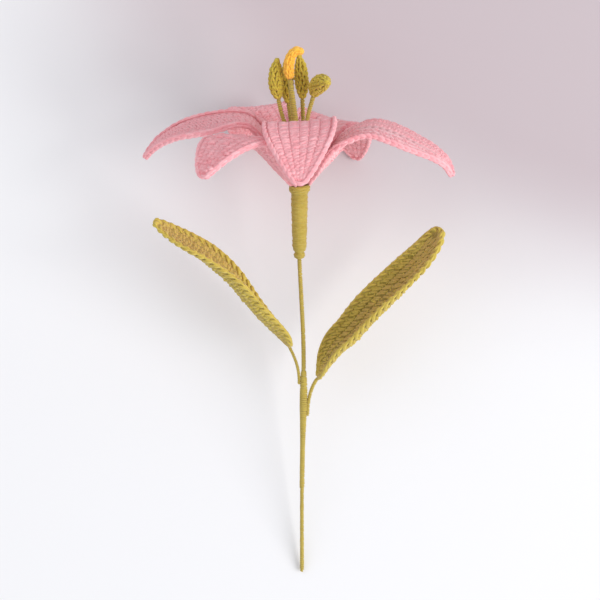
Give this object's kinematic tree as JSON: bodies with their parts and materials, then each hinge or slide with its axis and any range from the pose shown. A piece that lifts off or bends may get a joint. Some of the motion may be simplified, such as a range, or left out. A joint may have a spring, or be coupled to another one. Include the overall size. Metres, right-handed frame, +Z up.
{
  "type": "crocheted lily stem",
  "caption": "Crocheted single lily stem: an open bloom of arched yarn petals with stamens and a curled pistil, on a wire stem wound with yarn, with gutter-shaped yarn leaves.",
  "frame": {"origin": "centre of the underside of the whole flower's box, on the surface that it lies on", "axes": "+Z up from the surface; +Y along the stem from its foot to the bloom; +X to the right seen from above"},
  "size_m": [0.2, 0.3438, 0.1655],
  "materials": {
    "pink_yarn": "crocheted pink yarn, matt, soft",
    "green_yarn": "crocheted and wound olive green yarn, matt",
    "orange_yarn": "crocheted orange yarn, matt",
    "steel_wire": "plain craft wire"
  },
  "bodies": {
    "root": {"stem_wire": "steel_wire", "wire_tail_bundle": "steel_wire", "lower_winding": "green_yarn", "leaf_binding": "green_yarn", "upper_winding": "green_yarn", "left_leaf_stalk": "green_yarn", "right_leaf_stalk": "green_yarn", "neck_winding": "green_yarn", "leaf_left": "green_yarn", "leaf_right": "green_yarn", "petal_right": "pink_yarn", "petal_front": "pink_yarn", "petal_front_left": "pink_yarn", "petal_left": "pink_yarn", "petal_back_left": "pink_yarn", "petal_back_right": "pink_yarn", "filament_1": "green_yarn", "filament_2": "green_yarn", "filament_3": "green_yarn", "filament_4": "green_yarn", "anther_1": "green_yarn", "anther_2": "green_yarn", "anther_3": "green_yarn", "anther_4": "green_yarn", "pistil_stalk": "green_yarn", "pistil_tip": "orange_yarn"}
  },
  "joints": []
}
